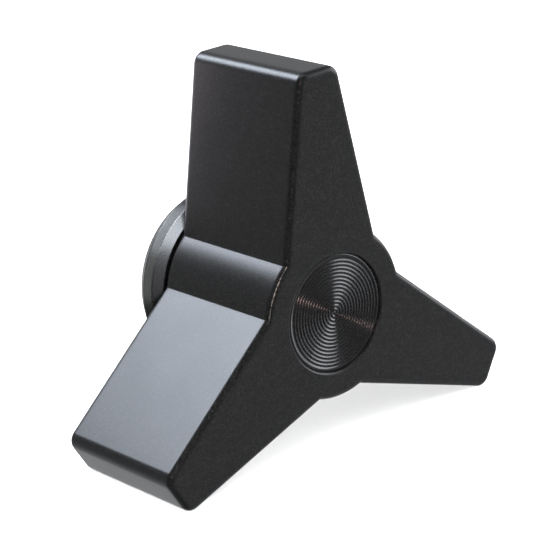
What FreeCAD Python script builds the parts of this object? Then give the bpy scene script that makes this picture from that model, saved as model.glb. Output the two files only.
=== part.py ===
import FreeCAD, Part
import Sketcher
import os

# Three-arm wing nut with a captive swivel flange. The thread axis is Y. The origin is the
# mouth of the threaded hole, the flange's seat faces +Y, the front face looks to -Y, and
# one arm points straight up. Lengths are in millimetres.

DRIVING = [
    # the arms and the hub
    ("reach", 31.75, "from the axis to an arm's end face: a 2-1/2 inch knob"),
    ("body_length", 20.64, "front face to back face, 13/16 inch"),
    ("hub_radius", 11.34, "round hub between the arms"),
    ("root_half_width", 9.2, "half an arm's width, carried back to the axis"),
    ("tip_half_width", 3.15, "half an arm's width at its end face"),
    ("arm_count", 3, "arms round the axis"),
    ("tip_round", 1.7, "corners of an arm's end, seen from the front"),
    ("crease_round", 0.35, "inner corners between the hub and the arms"),
    ("edge_round", 0.82, "rounded rim of the front and back faces, 1/32 inch"),
    # lengths along the axis
    ("overall_length", 25.4, "front face to the flange's seat, 1 inch"),
    ("seat_stand", 1.2, "from the thread's mouth to the seat"),
    # the counterbore that holds the bush's head and the cap
    ("counterbore_radius", 7.65, "wall of the counterbore"),
    ("counterbore_chamfer", 0.3, "bevel at the counterbore's rim"),
    ("cap_recess", 0.3, "front face to the cap's face"),
    ("cap_thickness", 1.8, "the cap, pressed in over the bush's head"),
    ("groove_pitch", 0.484, "from one turned groove of the cap to the next"),
    ("groove_depth", 0.14, "depth of a turned groove"),
    # the threaded bush: 3/8-16 UNC
    ("tap_drill_radius", 3.97, "wall of the threaded hole"),
    ("mouth_radius", 4.9, "outer edge of the countersink at each end of the thread"),
    ("head_radius", 7.3, "the bush's head"),
    ("head_thickness", 2.0, "the bush's head"),
    ("shank_radius", 6.35, "the bush's shank in the body's bore"),
    ("knurl_height", 0.08, "how far the knurl stands out of the shank"),
    ("knurl_half_width", 0.4, "half a ridge's width at its foot"),
    ("knurl_length", 9.0, "length of the knurled stretch"),
    ("knurl_count", 36, "ridges of the knurl"),
    ("spigot_radius", 6.2, "the bush's rear spigot, which carries the flange"),
    ("clip_groove_radius", 5.7, "floor of the circlip's groove in the spigot"),
    ("clip_groove_width", 0.7, "the circlip's groove"),
    ("clip_groove_inset", 0.5, "from the groove to the spigot's end"),
    ("bevel", 0.3, "small bevels on turned edges"),
    # the thrust washer
    ("washer_thickness", 0.76, "the washer, 0.030 inch"),
    ("washer_radius", 9.5, "outside of the washer"),
    ("washer_bore", 6.28, "inside of the washer"),
    ("axial_play", 0.05, "play on each side of the washer"),
    # the swivel flange
    ("flange_bore", 6.26, "runs on the spigot"),
    ("flange_length", 4.4, "front lip to the seat"),
    ("lip_radius", 11.2, "front lip"),
    ("shoulder_radius", 12.35, "end of the front bevel"),
    ("shoulder_inset", 1.05, "from the lip to the shoulder"),
    ("rim_radius", 12.7, "the flange's widest circle, 1 inch across"),
    ("rim_inset", 2.4, "from the lip to the widest circle"),
    ("heel_radius", 11.8, "start of the seat's bevel"),
    ("heel_inset", 3.6, "from the lip to the seat's bevel"),
    ("seat_radius", 11.4, "outside of the seat"),
    ("washer_pocket_radius", 9.7, "pocket in the flange for the washer"),
    ("clip_pocket_radius", 8.9, "pocket in the seat for the circlip"),
    ("clip_pocket_depth", 1.52, "depth of that pocket"),
    # the circlip
    ("clip_thickness", 0.6, "the circlip"),
    ("clip_outer_radius", 7.05, "outside of the circlip's band"),
    ("clip_offset", 0.3, "shift of the outside circle, which thins the band at the gap"),
    ("clip_gap", 3.2, "width of the circlip's gap"),
    ("lug_radius", 1.15, "the circlip's two lugs"),
    ("lug_place", 7.15, "from the axis to a lug's centre"),
    ("lug_angle", 21.0, "from the gap's middle to a lug's centre, in degrees"),
    ("lug_hole_radius", 0.5, "plier holes in the lugs"),
]

DERIVED = [
    ("seat", "seat_stand"),
    ("front", "seat - overall_length"),
    ("back", "front + body_length"),
    ("cap_face", "front + cap_recess"),
    ("head_face", "cap_face + cap_thickness"),
    ("head_floor", "head_face + head_thickness"),
    ("flange_lip", "seat - flange_length"),
    ("washer_face", "back + axial_play"),
    ("washer_floor", "washer_face + washer_thickness + axial_play"),
    ("clip_floor", "seat - clip_pocket_depth"),
    ("countersink", "mouth_radius - tap_drill_radius"),
    ("spigot_end", "countersink"),
    ("clip_groove_end", "spigot_end - clip_groove_inset"),
    ("clip_groove_start", "clip_groove_end - clip_groove_width"),
    ("clip_face", "clip_groove_start + (clip_groove_width - clip_thickness) / 2"),
    ("knurl_end", "(head_floor + back + knurl_length) / 2"),
    ("lug_across", "lug_place * sin(lug_angle)"),
    ("lug_up", "lug_place * cos(lug_angle)"),
]

GROOVES = 15            # turned grooves on the cap's face
SOLIDS = {}             # label of each piece, and the object whose shape it is

doc = FreeCAD.newDocument("wing_nut")


def make_sheet():
    """The spreadsheet of driving dimensions, and the places worked out from them."""
    sheet = doc.addObject("Spreadsheet::Sheet", "dims")
    rows = [(alias, str(number), meaning) for alias, number, meaning in DRIVING]
    rows += [(alias, "=" + formula, "worked out") for alias, formula in DERIVED]
    for row, (alias, content, meaning) in enumerate(rows, start=1):
        sheet.set(f"A{row}", alias)
        sheet.set(f"B{row}", content)
        sheet.set(f"C{row}", meaning)
        sheet.setAlias(f"B{row}", alias)
        doc.recompute()
    return sheet


dims = make_sheet()


def bound(formula):
    """A formula of the sheet's aliases, written so that another object can use it."""
    words = formula.replace("(", "( ").replace(")", " )").split()
    return " ".join("dims." + word if word[0].isalpha() else word for word in words)


def number(formula):
    return float(dims.evalExpression(bound(formula)))


# ---- helpers: sketches and features of a body ----


def new_body(label):
    body = doc.addObject("PartDesign::Body", label)
    body.Label = label
    SOLIDS[label] = body
    return body


def new_sketch(body, name, role, along=None):
    """A sketch on one of the body's origin planes. XZ_Plane looks along -Y; along is its place on Y."""
    plane = next(f for f in body.Origin.OriginFeatures if f.Role == role)
    sketch = body.newObject("Sketcher::SketchObject", name)
    sketch.AttachmentSupport = [(plane, "")]
    sketch.MapMode = "FlatFace"
    if along:
        sketch.setExpression("AttachmentOffset.Base.z", f"-({bound(along)})")
    return sketch


def bind(sketch, kind, place, formula):
    """A named dimension of the sketch, bound to a formula of the sheet."""
    index = sketch.addConstraint(Sketcher.Constraint(kind, *place, number(formula)))
    name = f"{kind}_{index}"
    sketch.renameConstraint(index, name)
    sketch.setExpression("Constraints." + name, bound(formula))


def draw_outline(sketch, points):
    """A closed ring of straight edges. Each point is a pair of formulas."""
    corners = [FreeCAD.Vector(number(across), number(up), 0) for across, up in points]
    for start, end in zip(corners, corners[1:] + corners[:1]):
        sketch.addGeometry(Part.LineSegment(start, end))
    for edge, (across, up) in enumerate(points):
        following = (edge + 1) % len(points)
        sketch.addConstraint(Sketcher.Constraint("Coincident", edge, 2, following, 1))
        bind(sketch, "DistanceX", (-1, 1, edge, 1), across)
        bind(sketch, "DistanceY", (-1, 1, edge, 1), up)


def draw_circle(sketch, radius, across="0", up="0"):
    centre = FreeCAD.Vector(number(across), number(up), 0)
    edge = sketch.addGeometry(Part.Circle(centre, FreeCAD.Vector(0, 0, 1), number(radius)))
    bind(sketch, "Radius", (edge,), radius)
    bind(sketch, "DistanceX", (-1, 1, edge, 3), across)
    bind(sketch, "DistanceY", (-1, 1, edge, 3), up)


def turned(body, name, points, kind="PartDesign::Revolution"):
    """A shape turned about the Y axis. Each point is (distance from the axis, place on Y)."""
    sketch = new_sketch(body, name + "_profile", "XY_Plane")
    draw_outline(sketch, points)
    feature = body.newObject(kind, name)
    feature.Profile = sketch
    feature.ReferenceAxis = (sketch, ["V_Axis"])
    feature.Angle = 360
    return feature


def pad(body, name, sketch, length):
    feature = body.newObject("PartDesign::Pad", name)
    feature.Profile = sketch
    feature.setExpression("Length", bound(length))
    return feature


def polar_pattern(body, name, feature, sketch, count):
    pattern = body.newObject("PartDesign::PolarPattern", name)
    pattern.Originals = [feature]
    pattern.Axis = (sketch, ["N_Axis"])
    pattern.Angle = 360
    pattern.setExpression("Occurrences", bound(count))
    body.Tip = pattern
    return pattern


def fillet(body, name, radius, chosen):
    """Rounds the edges of the body's last feature for which chosen(edge) is true."""
    doc.recompute()
    base = body.Tip
    edges = [f"Edge{i}" for i, edge in enumerate(base.Shape.Edges, start=1) if chosen(edge)]
    if not edges:
        raise RuntimeError(f"{name}: no edge to round")
    feature = body.newObject("PartDesign::Fillet", name)
    feature.Base = (base, edges)
    feature.setExpression("Radius", bound(radius))
    return feature


def cuts_away(body, make):
    """Makes a cutting feature, and makes sure that it took material away."""
    doc.recompute()
    before = body.Shape.Volume
    make()
    doc.recompute()
    if body.Shape.Volume > before - 0.01:
        raise RuntimeError(f"{body.Label}: a cut took nothing away")


def from_axis(point):
    return (point.x ** 2 + point.z ** 2) ** 0.5


def middle(edge):
    return edge.valueAt((edge.FirstParameter + edge.LastParameter) / 2)


# ---- the pieces ----


def make_wing_body():
    """One length of a three-arm profile, counterbored from the front and bored through."""
    body = new_body("wing_body")
    hub_outline = new_sketch(body, "hub_outline", "XZ_Plane", "back")
    draw_circle(hub_outline, "hub_radius")
    pad(body, "hub", hub_outline, "body_length")

    arm_outline = new_sketch(body, "arm_outline", "XZ_Plane", "back")
    draw_outline(arm_outline, [
        ("0 - root_half_width", "0"),
        ("root_half_width", "0"),
        ("tip_half_width", "reach"),
        ("0 - tip_half_width", "reach"),
    ])
    arm = pad(body, "arm", arm_outline, "body_length")
    polar_pattern(body, "arms", arm, arm_outline, "arm_count")

    def bore():
        turned(body, "bore", [
            ("0", "front"),
            ("counterbore_radius + counterbore_chamfer", "front"),
            ("counterbore_radius", "front + counterbore_chamfer"),
            ("counterbore_radius", "head_floor"),
            ("shank_radius", "head_floor"),
            ("shank_radius", "back - bevel"),
            ("shank_radius + bevel", "back"),
            ("0", "back"),
        ], kind="PartDesign::Groove")

    cuts_away(body, bore)

    def along_axis(edge):
        return abs(abs(edge.tangentAt(edge.FirstParameter).y) - 1) < 1e-6

    def at_tip(edge):
        return along_axis(edge) and from_axis(middle(edge)) > number("reach - 0.1")

    def at_crease(edge):
        distance = from_axis(middle(edge))
        return along_axis(edge) and abs(distance - number("hub_radius")) < 0.01

    def on_rim(edge):
        ends = [v.Point.y for v in edge.Vertexes] + [middle(edge).y]
        flat = max(ends) - min(ends) < 1e-6
        at_face = min(abs(ends[0] - number("front")), abs(ends[0] - number("back"))) < 1e-6
        return flat and at_face and from_axis(middle(edge)) > number("hub_radius - 1")

    fillet(body, "tip_rounds", "tip_round", at_tip)
    fillet(body, "crease_rounds", "crease_round", at_crease)
    fillet(body, "edge_rounds", "edge_round", on_rim)


def make_centre_cap():
    """The turned disc in the counterbore, with concentric grooves on its face."""
    body = new_body("centre_cap")
    face = [("0", "head_face"), ("counterbore_radius", "head_face"), ("counterbore_radius", "cap_face")]
    for crest in range(GROOVES, 0, -1):
        face.append((f"groove_pitch * {crest}", "cap_face"))
        face.append((f"groove_pitch * {crest - 0.5}", "cap_face + groove_depth"))
    face.append(("0", "cap_face"))
    turned(body, "disc", face)


def make_threaded_bush():
    """The steel bush: a head under the cap, a knurled shank, and a spigot for the flange."""
    body = new_body("threaded_bush")
    turned(body, "blank", [
        ("tap_drill_radius", "head_face + countersink"),
        ("mouth_radius", "head_face"),
        ("head_radius - bevel", "head_face"),
        ("head_radius", "head_face + bevel"),
        ("head_radius", "head_floor"),
        ("shank_radius", "head_floor"),
        ("shank_radius", "back"),
        ("spigot_radius", "back"),
        ("spigot_radius", "clip_groove_start"),
        ("clip_groove_radius", "clip_groove_start"),
        ("clip_groove_radius", "clip_groove_end"),
        ("spigot_radius", "clip_groove_end"),
        ("spigot_radius", "spigot_end - bevel / 2"),
        ("spigot_radius - bevel / 2", "spigot_end"),
        ("mouth_radius", "spigot_end"),
        ("tap_drill_radius", "0"),
    ])
    ridge_outline = new_sketch(body, "ridge_outline", "XZ_Plane", "knurl_end")
    draw_outline(ridge_outline, [
        ("0 - knurl_half_width", "shank_radius - bevel"),
        ("knurl_half_width", "shank_radius - bevel"),
        ("0", "shank_radius + knurl_height"),
    ])
    ridge = pad(body, "ridge", ridge_outline, "knurl_length")
    polar_pattern(body, "knurl", ridge, ridge_outline, "knurl_count")


def make_thrust_washer():
    """A plain washer between the body and the flange, free to turn."""
    disc = doc.addObject("Part::Cylinder", "washer_disc")
    disc.setExpression("Radius", bound("washer_radius"))
    hole = doc.addObject("Part::Cylinder", "washer_hole")
    hole.setExpression("Radius", bound("washer_bore"))
    for cylinder in (disc, hole):
        cylinder.setExpression("Height", bound("washer_thickness"))
    washer = doc.addObject("Part::Cut", "thrust_washer")
    washer.Label = "thrust_washer"
    washer.Base = disc
    washer.Tool = hole
    washer.Placement.Rotation = FreeCAD.Rotation(FreeCAD.Vector(1, 0, 0), -90)
    washer.setExpression("Placement.Base.y", bound("washer_face"))
    SOLIDS["thrust_washer"] = washer


def make_swivel_flange():
    """The captive flange: bevelled towards the body, with a pocket in each face."""
    body = new_body("swivel_flange")
    turned(body, "ring", [
        ("flange_bore", "washer_floor"),
        ("washer_pocket_radius", "washer_floor"),
        ("washer_pocket_radius", "flange_lip"),
        ("lip_radius", "flange_lip"),
        ("shoulder_radius", "flange_lip + shoulder_inset"),
        ("rim_radius", "flange_lip + rim_inset"),
        ("heel_radius", "flange_lip + heel_inset"),
        ("seat_radius", "seat"),
        ("clip_pocket_radius", "seat"),
        ("clip_pocket_radius", "clip_floor"),
        ("flange_bore", "clip_floor"),
    ])

    def on_outside(edge):
        outer = [number("lip_radius"), number("shoulder_radius"), number("rim_radius")]
        return min(abs(from_axis(middle(edge)) - radius) for radius in outer) < 0.01

    fillet(body, "flange_rounds", "bevel", on_outside)


def make_retaining_ring():
    """The circlip in the spigot's groove: an open band, thinner at its gap, with two lugs."""
    body = new_body("retaining_ring")
    band_outline = new_sketch(body, "band_outline", "XZ_Plane", "clip_face + clip_thickness")
    draw_circle(band_outline, "clip_outer_radius", up="0 - clip_offset")
    draw_circle(band_outline, "clip_groove_radius")
    pad(body, "band", band_outline, "clip_thickness")

    lug_outline = new_sketch(body, "lug_outline", "XZ_Plane", "clip_face + clip_thickness")
    for across in ("0 - lug_across", "lug_across"):
        draw_circle(lug_outline, "lug_radius", across, "lug_up")
    pad(body, "lugs", lug_outline, "clip_thickness")

    def gap_and_holes():
        outline = new_sketch(body, "gap_outline", "XZ_Plane", "clip_face + clip_thickness")
        draw_outline(outline, [
            ("0 - clip_gap / 2", "clip_groove_radius / 2"),
            ("clip_gap / 2", "clip_groove_radius / 2"),
            ("clip_gap / 2", "clip_pocket_radius"),
            ("0 - clip_gap / 2", "clip_pocket_radius"),
        ])
        for across in ("0 - lug_across", "lug_across"):
            draw_circle(outline, "lug_hole_radius", across, "lug_up")
        pocket = body.newObject("PartDesign::Pocket", "gap_and_holes")
        pocket.Profile = outline
        pocket.Type = "ThroughAll"
        pocket.Midplane = True

    cuts_away(body, gap_and_holes)


def write_pieces():
    """Checks every object and every piece, then writes one file for each piece."""
    doc.recompute()
    for thing in doc.Objects:
        if "Invalid" in thing.State or "Error" in thing.State:
            raise RuntimeError(f"{thing.Label} failed: {thing.State}")
    for label, piece in SOLIDS.items():
        shape = piece.Shape
        if shape.isNull() or not shape.isValid() or len(shape.Solids) != 1:
            raise RuntimeError(f"{label} isn't one valid solid")
    os.makedirs("parts", exist_ok=True)
    for label, piece in SOLIDS.items():
        piece.Shape.exportStep(f"parts/{label}.step")
        print(label, "volume", round(piece.Shape.Volume, 1), "mm3")


make_wing_body()
make_centre_cap()
make_threaded_bush()
make_thrust_washer()
make_swivel_flange()
make_retaining_ring()
write_pieces()
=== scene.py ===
import bpy
import bmesh
import math
from mathutils import Matrix, Vector


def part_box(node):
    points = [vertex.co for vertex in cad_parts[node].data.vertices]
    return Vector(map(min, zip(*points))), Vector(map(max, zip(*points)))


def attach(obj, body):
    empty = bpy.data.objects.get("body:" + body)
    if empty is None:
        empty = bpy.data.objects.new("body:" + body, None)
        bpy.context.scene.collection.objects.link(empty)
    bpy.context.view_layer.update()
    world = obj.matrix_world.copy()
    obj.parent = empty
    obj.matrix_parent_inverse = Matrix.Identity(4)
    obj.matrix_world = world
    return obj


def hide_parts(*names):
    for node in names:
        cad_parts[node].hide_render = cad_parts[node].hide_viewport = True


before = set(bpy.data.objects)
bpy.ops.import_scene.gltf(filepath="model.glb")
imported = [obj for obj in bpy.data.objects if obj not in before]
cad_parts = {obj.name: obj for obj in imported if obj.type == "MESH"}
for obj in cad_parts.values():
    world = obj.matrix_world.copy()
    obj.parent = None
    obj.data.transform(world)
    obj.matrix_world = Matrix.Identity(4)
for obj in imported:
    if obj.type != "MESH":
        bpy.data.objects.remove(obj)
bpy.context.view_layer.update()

# ---- sizes ----

MM = 0.001

# Places read from the frame. The thread axis is Y, and the front of the nut looks towards -Y.
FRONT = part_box("wing_body")[0].y
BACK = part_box("wing_body")[1].y
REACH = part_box("wing_body")[1].z
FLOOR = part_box("wing_body")[0].z
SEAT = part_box("swivel_flange")[1].y
CAP_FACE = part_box("centre_cap")[0].y
HEAD_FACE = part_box("threaded_bush")[0].y
SPIGOT_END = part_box("threaded_bush")[1].y
FLANGE_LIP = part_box("swivel_flange")[0].y

# The body's outline: tapering arms on a round hub, rounded on every long edge.
HUB_RADIUS = 11.34 * MM
ROOT_HALF_WIDTH = 9.2 * MM
TIP_HALF_WIDTH = 3.15 * MM
TIP_ROUND = 1.7 * MM
CREASE_ROUND = 0.35 * MM
EDGE_ROUND = 0.82 * MM
ARM_ANGLES = (90, 210, 330)

# How far an edge is rubbed, from 0 to 1. The hub's edges have 1.
ARM_EDGE_WEAR = 0.957
TIP_WEAR = 0.9
CREST_WEAR = 0.9

# The counterbore in the body's front, the bore behind it, the bush's head and the disc's grooves.
COUNTERBORE = 7.65 * MM
CHAMFER = 0.3 * MM
BORE = 6.35 * MM
HEAD_THICKNESS = 2.0 * MM
BEVEL = 0.3 * MM
GROOVES = 15
GROOVE_PITCH = 0.484 * MM
GROOVE_DEPTH = 0.14 * MM

# A 3/8-16 thread.
THREAD_PITCH = 25.4 / 16 * MM
THREAD_MINOR = 3.97 * MM
THREAD_MAJOR = 4.78 * MM
MOUTH = 4.9 * MM

# ---- mesh building ----


def loft(name, rings, wear, closed):
    """A mesh of quads through rings of equally many points. A ring of one point closes an end.
    closed joins the last ring to the first. wear is one number for each ring, or one for each point."""
    verts, starts, values = [], [], []
    for ring, worn in zip(rings, wear):
        starts.append(len(verts))
        verts += ring
        values += worn if isinstance(worn, list) else [worn] * len(ring)
    pairs = list(zip(range(len(rings) - 1), range(1, len(rings))))
    if closed:
        pairs.append((len(rings) - 1, 0))
    faces = []
    for one, two in pairs:
        count = max(len(rings[one]), len(rings[two]))
        for i in range(count):
            j = (i + 1) % count
            a, b = starts[one], starts[two]
            if len(rings[one]) == 1:
                faces.append((a, b + j, b + i))
            elif len(rings[two]) == 1:
                faces.append((a + i, a + j, b))
            else:
                faces.append((a + i, a + j, b + j, b + i))
    mesh = bpy.data.meshes.new(name)
    mesh.from_pydata([tuple(v) for v in verts], [], faces)
    work = bmesh.new()
    work.from_mesh(mesh)
    bmesh.ops.recalc_face_normals(work, faces=work.faces)
    work.to_mesh(mesh)
    work.free()
    mesh.polygons.foreach_set("use_smooth", [True] * len(mesh.polygons))
    attribute = mesh.attributes.new("wear", "FLOAT", "POINT")
    attribute.data.foreach_set("value", values)
    piece = bpy.data.objects.new(name, mesh)
    bpy.context.scene.collection.objects.link(piece)
    weighted = piece.modifiers.new("weighted_normals", "WEIGHTED_NORMAL")
    weighted.weight = 100
    return piece


def circle(radius, y, angles):
    return [Vector((radius * math.cos(a), y, radius * math.sin(a))) for a in angles]


def even_angles(count):
    return [2 * math.pi * i / count for i in range(count)]


def rounded(corners, steps=5):
    """A closed outline with its corners rounded. Each corner is (across, along, radius).
    Gives (across, along, wear), where wear is 1 in the middle of a rounding."""
    points = []
    count = len(corners)
    for i, (x, y, radius) in enumerate(corners):
        here = Vector((x, y))
        if radius == 0:
            points.append((x, y, 0.0))
            continue
        before = (Vector(corners[i - 1][:2]) - here).normalized()
        after = (Vector(corners[(i + 1) % count][:2]) - here).normalized()
        half = before.angle(after) / 2
        reach = radius / math.tan(half)
        centre = here + (before + after).normalized() * radius / math.sin(half)
        start = here + before * reach - centre
        turn = start.angle_signed(here + after * reach - centre)
        for step in range(steps + 1):
            share = step / steps
            arm = start.copy()
            arm.rotate(Matrix.Rotation(-turn * share, 2))
            point = centre + arm
            points.append((point.x, point.y, math.sin(math.pi * share)))
    return points


def turned(name, profile, segments):
    """A closed profile of (radius, y, wear), turned about the thread axis."""
    angles = even_angles(segments)
    rings = [circle(r, y, angles) for r, y, _ in profile]
    return loft(name, rings, [w for _, _, w in profile], closed=True)


# ---- the wing body ----


def arc(centre, radius, start, end, steps):
    """Points on an arc, each with the direction from the centre, both ends included."""
    made = []
    for i in range(steps + 1):
        a = start + (end - start) * i / steps
        out = Vector((math.cos(a), math.sin(a)))
        made.append((centre + out * radius, out))
    return made


def half_arm():
    """Half an arm's outline, from the hub to the middle of the end face. The arm lies along the
    first axis. Each entry is (point, outward direction, wear)."""
    crease_steps, side_steps, tip_steps = 3, 22, 8
    slope = (ROOT_HALF_WIDTH - TIP_HALF_WIDTH) / REACH
    side_angle = math.atan2(1, slope)
    side_out = Vector((math.cos(side_angle), math.sin(side_angle)))
    side_along = Vector((side_out.y, -side_out.x))
    offset = ROOT_HALF_WIDTH * side_out.y

    away = offset + CREASE_ROUND
    along = math.sqrt((HUB_RADIUS + CREASE_ROUND) ** 2 - away ** 2)
    crease = side_out * away + side_along * along
    hub_direction = math.atan2(crease.y, crease.x)
    tip_centre = Vector((
        REACH - TIP_ROUND,
        (offset - TIP_ROUND) / side_out.y - (REACH - TIP_ROUND) * slope,
    ))

    outline = []
    start, end = hub_direction - math.pi, side_angle - math.pi
    for point, out in arc(crease, CREASE_ROUND, start, end, crease_steps):
        outline.append((point, -out, 0.0))
    corner = arc(tip_centre, TIP_ROUND, side_angle, 0, tip_steps)
    root, tip = outline[-1][0], corner[0][0]
    angles = [math.atan2(p.y, p.x) for p in (root, tip)]
    for i in range(1, side_steps):
        a = angles[0] + (angles[1] - angles[0]) * i / side_steps
        ray = Vector((math.cos(a), math.sin(a)))
        outline.append((ray * offset / ray.dot(side_out), side_out, 0.0))
    for i, (point, out) in enumerate(corner):
        outline.append((point, out, math.sin(math.pi * i / tip_steps)))
    middle = Vector((REACH, 0))
    outline.append(((corner[-1][0] + middle) / 2, Vector((1, 0)), 0.0))
    outline.append((middle, Vector((1, 0)), 0.0))
    return outline, hub_direction


def body_outline():
    """The whole outline in the XZ plane, anticlockwise, as (point, outward direction, wear)."""
    half, hub_direction = half_arm()
    hub_steps = 18
    outline = []
    for angle in ARM_ANGLES:
        turn = Matrix.Rotation(math.radians(angle), 2)
        mirror = [(Vector((p.x, -p.y)), Vector((n.x, -n.y)), w) for p, n, w in half]
        arm = mirror + half[-2::-1]
        outline += [(turn @ p, turn @ n, w) for p, n, w in arm]
        start = math.radians(angle) + hub_direction
        end = math.radians(angle + 120) - hub_direction
        hub = arc(Vector((0, 0)), HUB_RADIUS, start, end, hub_steps)[1:-1]
        outline += [(p, n, 0.0) for p, n in hub]
    return outline


def make_wing_body():
    """The body as rings of the same points: across the front face, over the front rounding, along the
    sides, over the rear rounding, across the rear face and back through the bore."""
    outline = body_outline()
    angles = [math.atan2(p.y, p.x) for p, _, _ in outline]

    def ring(inset, y):
        inner = [p - n * inset for p, n, _ in outline]
        return [Vector((p.x, y, p.y)) for p in inner]

    on_hub = [p.length < HUB_RADIUS * 1.001 for p, _, _ in outline]
    edge_wear = [1.0 if hub else ARM_EDGE_WEAR for hub in on_hub]
    tip_wear = [TIP_WEAR * w for _, _, w in outline]
    rings, wear = [], []

    def add(points, worn=0.0):
        rings.append(points)
        wear.append([max(worn * edge, tip) for edge, tip in zip(edge_wear, tip_wear)])

    def add_plain(points, worn=0.0):
        rings.append(points)
        wear.append(worn)

    head_floor = HEAD_FACE + HEAD_THICKNESS
    steps = 8
    beside_edge = 0.3 * MM
    beside_chamfer = 0.15 * MM
    add_plain(circle(COUNTERBORE + CHAMFER, FRONT, angles), 1.0)
    add_plain(circle(COUNTERBORE + CHAMFER + beside_chamfer, FRONT, angles))
    add_plain(ring(EDGE_ROUND + beside_edge, FRONT))
    for step in range(steps + 1):
        turn = math.pi / 2 * step / steps
        inset = EDGE_ROUND * (1 - math.sin(turn))
        add(ring(inset, FRONT + EDGE_ROUND * (1 - math.cos(turn))), math.sin(2 * turn))
    add(ring(0, FRONT + EDGE_ROUND + beside_edge))
    add(ring(0, BACK - EDGE_ROUND - beside_edge))
    for step in range(steps + 1):
        turn = math.pi / 2 * (1 - step / steps)
        inset = EDGE_ROUND * (1 - math.sin(turn))
        add(ring(inset, BACK - EDGE_ROUND * (1 - math.cos(turn))), math.sin(2 * turn))
    add_plain(ring(EDGE_ROUND + beside_edge, BACK))
    add_plain(circle(BORE + BEVEL, BACK, angles), 0.5)
    add_plain(circle(BORE, BACK - BEVEL, angles))
    add_plain(circle(BORE, head_floor, angles))
    add_plain(circle(COUNTERBORE, head_floor, angles))
    add_plain(circle(COUNTERBORE, FRONT + CHAMFER, angles))
    return loft("wing_body_shell", rings, wear, closed=True)


# ---- the turned pieces ----


def make_centre_cap():
    """The disc in the counterbore. Each groove is a shallow scallop, as a round-nosed tool cuts it."""
    rim = COUNTERBORE - 0.01 * MM
    rim_bevel, rim_wear = 0.05 * MM, 0.3
    profile = [
        (rim, HEAD_FACE, 0.0),
        (rim, CAP_FACE + rim_bevel, rim_wear),
        (rim - rim_bevel, CAP_FACE, rim_wear),
    ]
    crest = 0.012 * MM
    samples = 10
    segments = 256
    for k in range(GROOVES, 0, -1):
        outer, inner = k * GROOVE_PITCH - crest, (k - 1) * GROOVE_PITCH + crest
        middle, half = (outer + inner) / 2, (outer - inner) / 2
        for i in range(samples + 1):
            u = 1 - 2 * i / samples
            edge = CREST_WEAR if i in (0, samples) else 0.0
            profile.append((middle + u * half, CAP_FACE + GROOVE_DEPTH * (1 - u * u), edge))
    angles = even_angles(segments)
    rings = [[Vector((0, HEAD_FACE, 0))]]
    rings += [circle(r, y, angles) for r, y, _ in profile]
    rings.append([Vector((0, CAP_FACE, 0))])
    wear = [0.0] + [w for _, _, w in profile] + [CREST_WEAR]
    return loft("centre_disc", rings, wear, closed=False)


def thread_radius(y, angle):
    """The wall of the right-handed 3/8-16 thread: a flat root, two 30 degree flanks, a flat crest."""
    turn = (y / THREAD_PITCH - angle / (2 * math.pi)) % 1.0
    from_root = min(turn, 1 - turn) * THREAD_PITCH
    root_half = THREAD_PITCH / 16
    depth = (from_root - root_half) / math.tan(math.radians(30))
    return max(THREAD_MINOR, min(THREAD_MAJOR, THREAD_MAJOR - depth))


def make_threaded_bush():
    """Head, shank and spigot outside; inside, the thread between two countersinks."""
    sink = MOUTH - THREAD_MINOR
    head_floor = HEAD_FACE + HEAD_THICKNESS
    clip_end = SPIGOT_END - 0.5 * MM
    clip_start = clip_end - 0.7 * MM
    spigot, groove, head = 6.2 * MM, 5.7 * MM, 7.3 * MM
    segments, rows_per_turn = 120, 18
    outside = rounded([
        (MOUTH, HEAD_FACE, 0),
        (head, HEAD_FACE, 0.2 * MM),
        (head, head_floor, 0.1 * MM),
        (BORE, head_floor, 0.1 * MM),
        (BORE, BACK, 0),
        (spigot, BACK, 0),
        (spigot, clip_start, 0.05 * MM),
        (groove, clip_start, 0),
        (groove, clip_end, 0),
        (spigot, clip_end, 0.05 * MM),
        (spigot, SPIGOT_END, 0.16 * MM),
        (MOUTH, SPIGOT_END, 0.06 * MM),
        ((THREAD_MINOR + MOUTH) / 2, SPIGOT_END - sink / 2, 0),
    ])[:-1]
    angles = even_angles(segments)
    rings = [circle(r, y, angles) for r, y, _ in outside]
    wear = [w for _, _, w in outside]
    start, end = HEAD_FACE, SPIGOT_END
    count = int((end - start) / THREAD_PITCH * rows_per_turn)
    for i in range(1, count):
        y = end + (start - end) * i / count
        cone = MOUTH - min(y - start, end - y)
        radii = [max(thread_radius(y, a), cone) for a in angles]
        around = zip(radii, angles)
        rings.append([Vector((r * math.cos(a), y, r * math.sin(a))) for r, a in around])
        wear.append([1.0 if r <= THREAD_MINOR * 1.001 else 0.0 for r in radii])
    return loft("bush_with_thread", rings, wear, closed=True)


def make_swivel_flange():
    """The captive flange: a bevel towards the body, a flared band, a bevelled heel, two pockets."""
    washer_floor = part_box("thrust_washer")[1].y + 0.05 * MM
    clip_floor = SEAT - 1.52 * MM
    bore, washer_pocket, clip_pocket = 6.26 * MM, 9.7 * MM, 8.9 * MM
    profile = rounded([
        (bore, clip_floor, 0.1 * MM),
        (bore, washer_floor, 0.1 * MM),
        (washer_pocket, washer_floor, 0),
        (washer_pocket, FLANGE_LIP, 0.1 * MM),
        (11.2 * MM, FLANGE_LIP, 0.25 * MM),
        (12.3 * MM, FLANGE_LIP + 1.05 * MM, 0.45 * MM),
        (12.68 * MM, FLANGE_LIP + 2.4 * MM, 0.4 * MM),
        (11.85 * MM, FLANGE_LIP + 3.6 * MM, 0.3 * MM),
        (11.4 * MM, SEAT, 0.2 * MM),
        (clip_pocket, SEAT, 0.12 * MM),
        (clip_pocket, clip_floor, 0),
    ], steps=6)
    return turned("flange_ring", profile, segments=192)


# ---- materials: colours are linear ----

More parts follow.
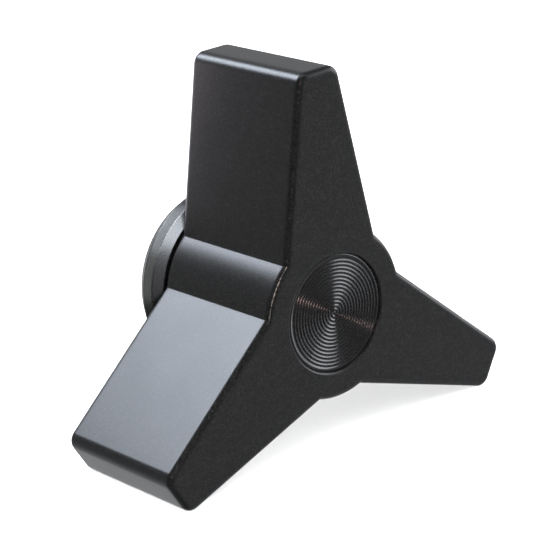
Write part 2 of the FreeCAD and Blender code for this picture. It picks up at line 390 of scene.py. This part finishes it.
DARK_DYE = (0.0016, 0.0016, 0.0018, 1)
LIGHT_DYE = (0.0026, 0.0026, 0.0028, 1)
ETCHED_DYE = (0.017, 0.017, 0.017, 1)
BARE_ALUMINIUM = (0.22, 0.195, 0.18, 1)


class Nodes:
    """A node tree, with short ways to add nodes and join them."""

    def __init__(self, tree):
        self.tree = tree

    def add(self, kind, **settings):
        node = self.tree.nodes.new(kind)
        for key, setting in settings.items():
            setattr(node, key, setting)
        return node

    def put(self, node, socket, what):
        """Joins an output to a socket, or sets the socket's own value."""
        if isinstance(what, bpy.types.NodeSocket):
            self.tree.links.new(what, node.inputs[socket])
        else:
            node.inputs[socket].default_value = what

    def remap(self, what, low, high, to_low, to_high, how="LINEAR"):
        """Takes the span low to high to the span to_low to to_high, and holds it there at both ends."""
        node = self.add("ShaderNodeMapRange", interpolation_type=how)
        for socket, number in zip(("Value", "From Min", "From Max", "To Min", "To Max"),
                                  (what, low, high, to_low, to_high)):
            self.put(node, socket, number)
        return node.outputs["Result"]

    def maths(self, operation, one, two=0.0):
        node = self.add("ShaderNodeMath", operation=operation)
        self.put(node, 0, one)
        self.put(node, 1, two)
        return node.outputs[0]


class Shader(Nodes):
    """The nodes of one material."""

    def __init__(self, name):
        self.material = bpy.data.materials.new(name)
        self.material.use_nodes = True
        super().__init__(self.material.node_tree)
        self.surface = self.tree.nodes["Principled BSDF"]
        self.place = self.add("ShaderNodeTexCoord").outputs["Object"]

    def noise(self, size, detail=2.0, rough=0.5, where=None):
        """Noise whose features are about size metres across."""
        node = self.add("ShaderNodeTexNoise")
        self.put(node, "Vector", where or self.place)
        self.put(node, "Scale", 1 / size)
        self.put(node, "Detail", detail)
        self.put(node, "Roughness", rough)
        return node.outputs["Fac"]

    def mix(self, factor, one, two):
        """The colour one where the factor is 0, and two where it is 1."""
        node = self.add("ShaderNodeMix", data_type="RGBA")
        self.put(node, "Factor", factor)
        self.put(node, 6, one)
        self.put(node, 7, two)
        return node.outputs[2]

    def bump(self, height, depth, normal=None):
        """Relief of the given depth in metres."""
        node = self.add("ShaderNodeBump")
        self.put(node, "Height", height)
        self.put(node, "Distance", depth)
        if normal:
            self.put(node, "Normal", normal)
        return node.outputs["Normal"]

    def wear(self):
        """The wear value on the mesh."""
        node = self.add("ShaderNodeAttribute", attribute_name="wear")
        return node.outputs["Fac"]

    def from_axis(self):
        """Distance from the thread axis."""
        split = self.add("ShaderNodeSeparateXYZ")
        self.put(split, 0, self.place)
        across = self.maths("MULTIPLY", split.outputs["X"], split.outputs["X"])
        up = self.maths("MULTIPLY", split.outputs["Z"], split.outputs["Z"])
        return self.maths("SQRT", self.maths("ADD", across, up))

    def rings(self, size):
        """Noise that changes only with the distance from the axis: marks of a turning tool."""
        join = self.add("ShaderNodeCombineXYZ")
        self.put(join, 0, self.from_axis())
        return self.noise(size, detail=3.0, where=join.outputs[0])


def anodised(name, rough, grain, relief, turned_marks=0.0):
    """Black anodised aluminium: clouded dark dye, a fine etched grain with paler specks, and bare
    metal where a worn edge meets a chip in the noise."""
    s = Shader(name)
    cloud = s.noise(5 * MM, detail=3.0)
    speck = s.noise(grain, detail=2.0, rough=0.6)
    chips = s.noise(0.35 * MM, detail=4.0, rough=0.6)
    dye = s.mix(cloud, DARK_DYE, LIGHT_DYE)
    dye = s.mix(s.remap(speck, 0.48, 0.72, 0, 1), dye, ETCHED_DYE)
    rubbed = s.maths("ADD", s.maths("POWER", s.wear(), 6.0), chips)
    worn = s.remap(rubbed, 1.32, 1.48, 0, 1)
    bare = s.maths("MULTIPLY", worn, 0.6)
    s.put(s.surface, "Base Color", s.mix(bare, dye, BARE_ALUMINIUM))
    s.put(s.surface, "Metallic", s.maths("MULTIPLY", bare, 0.5))
    finish = s.remap(cloud, 0.3, 0.7, rough - 0.01, rough + 0.01)
    finish = s.maths("SUBTRACT", finish, s.maths("MULTIPLY", worn, 0.05))
    s.put(s.surface, "Roughness", finish)
    normal = s.bump(speck, relief)
    if turned_marks:
        normal = s.bump(s.rings(0.06 * MM), turned_marks, normal)
    s.put(s.surface, "Normal", normal)
    s.put(s.surface, "IOR", 1.45)
    s.put(s.surface, "Specular IOR Level", 0.25)
    return s.material


def turned_steel(name, light, dark, rough):
    """Turned steel with tool marks round the axis, and brighter rubbed edges."""
    s = Shader(name)
    cloud = s.noise(2.5 * MM, detail=4.0)
    marks = s.rings(0.05 * MM)
    worn = s.maths("MULTIPLY", s.wear(), s.remap(cloud, 0.35, 0.6, 0.2, 1))
    rubbed = tuple(min(1, c * 1.4) for c in light[:3]) + (1,)
    colour = s.mix(cloud, dark, light)
    colour = s.mix(s.maths("MULTIPLY", worn, 0.5), colour, rubbed)
    s.put(s.surface, "Base Color", colour)
    s.put(s.surface, "Metallic", 1.0)
    s.put(s.surface, "Roughness", s.remap(marks, 0.3, 0.7, rough - 0.05, rough + 0.08))
    s.put(s.surface, "Normal", s.bump(marks, 1.5e-6))
    return s.material


def moulded_plastic(name, dark, light):
    """Moulded plastic: a faint clouding and a fine matt grain."""
    s = Shader(name)
    cloud = s.noise(1.5 * MM, detail=3.0)
    grain = s.noise(0.08 * MM, detail=2.0)
    s.put(s.surface, "Base Color", s.mix(cloud, dark, light))
    s.put(s.surface, "Roughness", s.remap(grain, 0.3, 0.7, 0.42, 0.55))
    s.put(s.surface, "Normal", s.bump(grain, 2e-6))
    return s.material


def paint(piece, material):
    piece.data.materials.clear()
    piece.data.materials.append(material)


def finish_piece(piece, material, body, node):
    """Paints a new piece, and puts it on its body in place of its CAD node."""
    paint(piece, material)
    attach(piece, body)
    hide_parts(node)


satin = anodised("black_anodised_satin", rough=0.30, grain=0.19 * MM, relief=1.6e-6)
bright = anodised("black_anodised_bright", rough=0.18, grain=0.10 * MM, relief=0.25e-6,
                  turned_marks=0.3e-6)
lathe = anodised("black_anodised_turned", rough=0.27, grain=0.10 * MM, relief=1.6e-6,
                 turned_marks=1.2e-6)
plated = turned_steel("plated_steel", light=(0.62, 0.60, 0.55, 1), dark=(0.46, 0.45, 0.42, 1),
                      rough=0.28)
blacked = turned_steel("blacked_spring_steel", light=(0.11, 0.10, 0.095, 1),
                       dark=(0.05, 0.047, 0.045, 1), rough=0.34)
acetal = moulded_plastic("black_acetal", dark=(0.010, 0.010, 0.010, 1), light=(0.018, 0.017, 0.016, 1))

finish_piece(make_wing_body(), satin, "nut", "wing_body")
finish_piece(make_centre_cap(), bright, "nut", "centre_cap")
finish_piece(make_threaded_bush(), plated, "nut", "threaded_bush")
finish_piece(make_swivel_flange(), lathe, "flange", "swivel_flange")
paint(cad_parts["thrust_washer"], acetal)
paint(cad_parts["retaining_ring"], blacked)

# ---- floor, light and camera ----

BODY = ("wing_body_shell",)
DISC = ("centre_disc",)
FLANGE = ("flange_ring",)

COOL = (0.93, 0.95, 1.0)
COOLER = (0.86, 0.92, 1.0)
BLUE = (0.80, 0.88, 1.0)
VIOLET = (0.98, 0.88, 1.0)
GREENISH = (0.97, 1.0, 0.97)
LILAC = (0.95, 0.93, 1.0)
PINK = (1.0, 0.78, 0.72)
RED = (1.0, 0.66, 0.62)


def make_floor():
    """A pale floor. It isn't in the gloss, and casts no shadow, so light from below reaches the nut."""
    bpy.ops.mesh.primitive_plane_add(size=4.0, location=(0, 0, FLOOR))
    floor = bpy.context.object
    floor.name = "floor"
    s = Shader("pale_floor")
    s.put(s.surface, "Base Color", (0.86, 0.86, 0.86, 1))
    s.put(s.surface, "Roughness", 0.9)
    s.put(s.surface, "Specular IOR Level", 0.0)
    floor.data.materials.append(s.material)
    floor.visible_glossy = False
    floor.visible_shadow = False


def toward(azimuth, elevation):
    """The direction from the object at an angle round from -Y towards +X, and above the floor."""
    a, e = math.radians(azimuth), math.radians(elevation)
    return Vector((math.sin(a) * math.cos(e), -math.cos(a) * math.cos(e), math.sin(e)))


def add_light(name, kind, colour, back, distance, aim=Vector()):
    """A light that faces the point aim from the direction back, unseen by the camera."""
    light = bpy.data.lights.new(name, kind)
    light.color = colour
    holder = bpy.data.objects.new(name, light)
    holder.location = aim + back * distance
    holder.rotation_mode = "QUATERNION"
    holder.rotation_quaternion = back.to_track_quat("Z", "Y")
    holder.visible_camera = False
    bpy.context.scene.collection.objects.link(holder)
    return holder


def softbox(name, azimuth, elevation, half_width, half_height, brightness, colour, only=(),
            distance=0.7, aim=Vector()):
    """A rectangular light seen only in gloss: that of every piece, or of the pieces in only. Its half
    sizes are angles in degrees as the point aim sees them, and brightness is its radiance."""
    holder = add_light(name, "AREA", colour, toward(azimuth, elevation), distance, aim)
    light = holder.data
    light.shape = "RECTANGLE"
    light.size = 2 * distance * math.tan(math.radians(half_width))
    light.size_y = 2 * distance * math.tan(math.radians(half_height))
    light.energy = brightness * math.pi * light.size * light.size_y
    holder.visible_diffuse = False
    if only:
        lit = bpy.data.collections.new(name + "_lights")
        for piece in only:
            lit.objects.link(bpy.data.objects[piece])
        holder.light_linking.receiver_collection = lit


def make_floor_lights():
    """Wide soft lights all round, for the floor and the matt part of each colour."""
    count = 5
    for k in range(count):
        holder = add_light(f"floor_light_{k}", "SUN", (1, 1, 1), toward(360 * k / count, 50), 1.0)
        holder.data.angle = math.radians(45)
        holder.data.energy = 1.4
        holder.visible_glossy = False
    fill = add_light("floor_fill", "SUN", (1, 1, 1), toward(0, 90), 1.0)
    fill.data.energy = 2.6
    fill.data.use_shadow = False
    fill.visible_glossy = False


def make_surroundings():
    """What the gloss shows beside the softboxes: a dim room with pale walls. The camera sees white.
    Each wall has an azimuth and an elevation, the cosines of the angles from it at which it starts and
    is full, and the strength that it adds."""
    world = bpy.data.worlds.new("studio")
    world.use_nodes = True
    bpy.context.scene.world = world
    s = Nodes(world.node_tree)
    direction = s.add("ShaderNodeTexCoord").outputs["Generated"]
    strength = 0.25
    for azimuth, elevation, start, full, extra in (
        (50, -15, 0.45, 0.85, 0.7),
        (165, 5, 0.4, 0.9, 0.45),
        (185, -45, 0.75, 0.95, 0.7),
        (-138, -5, 0.87, 0.98, 0.2),
    ):
        dot = s.add("ShaderNodeVectorMath", operation="DOT_PRODUCT")
        s.put(dot, 0, direction)
        s.put(dot, 1, toward(azimuth, elevation))
        wall = s.remap(dot.outputs["Value"], start, full, 0, extra, "SMOOTHSTEP")
        strength = s.maths("ADD", strength, wall)
    seen = s.add("ShaderNodeLightPath").outputs["Is Camera Ray"]
    background = s.tree.nodes["Background"]
    s.put(background, "Color", (0.95, 0.97, 1.0, 1))
    s.put(background, "Strength", s.maths("MAXIMUM", strength, s.maths("MULTIPLY", seen, 1.1)))


def make_lights():
    make_surroundings()
    make_floor_lights()
    softbox("key_behind", 200, 45, 14, 10.5, 27, BLUE)
    softbox("side_right", 69.5, 18, 25.5, 20, 4.5, COOL, BODY + FLANGE)
    softbox("overhead", 0, 88, 16, 16, 3, COOL)
    softbox("glint", -36, 21, 1.7, 1.7, 150, PINK, BODY)
    beside_top_arm = Vector((9.0, 9.6, 23.2)) * MM
    softbox("card_behind", -137, -5, 51, 42, 3.0, VIOLET, BODY, distance=0.015, aim=beside_top_arm)
    softbox("disc_right", 72, 18, 24, 20, 11, COOL, DISC)
    softbox("disc_low_right", 80, -14, 30, 11, 4.5, COOL, DISC)
    softbox("disc_streak", -36, 21, 3.0, 3.0, 130, RED, DISC)
    softbox("above_flange", -42, 54, 20, 24, 42, COOLER, FLANGE)
    softbox("behind_flange", -122, 56, 20, 24, 14, COOLER, FLANGE)
    softbox("flange_low_front", -42, 3, 12, 22, 3, LILAC, FLANGE)
    softbox("flange_low_back", -114, 10, 14, 28, 4, GREENISH, FLANGE)


CAMERA_AZIMUTH = -39.6
CAMERA_ELEVATION = 19.6
CAMERA_ROLL = 4.65
CAMERA_DISTANCE = 0.2975
CAMERA_LENS = 154.5
AIM = Vector((-4.5, -18.1, 5.15)) * MM


def make_camera():
    """A long lens, rolled a little, that looks at the point AIM."""
    camera = bpy.data.objects.new("camera", bpy.data.cameras.new("camera"))
    camera.data.lens = CAMERA_LENS
    camera.data.sensor_width = 36
    camera.data.clip_start = 0.01
    back = toward(CAMERA_AZIMUTH, CAMERA_ELEVATION)
    camera.location = AIM + back * CAMERA_DISTANCE
    camera.rotation_mode = "QUATERNION"
    camera.rotation_quaternion = back.to_track_quat("Z", "Y")
    roll = Matrix.Rotation(math.radians(-CAMERA_ROLL), 3, "Z")
    camera.rotation_quaternion @= roll.to_quaternion()
    bpy.context.scene.collection.objects.link(camera)
    bpy.context.scene.camera = camera


make_floor()
make_lights()
make_camera()
bpy.context.scene.view_settings.view_transform = "Standard"
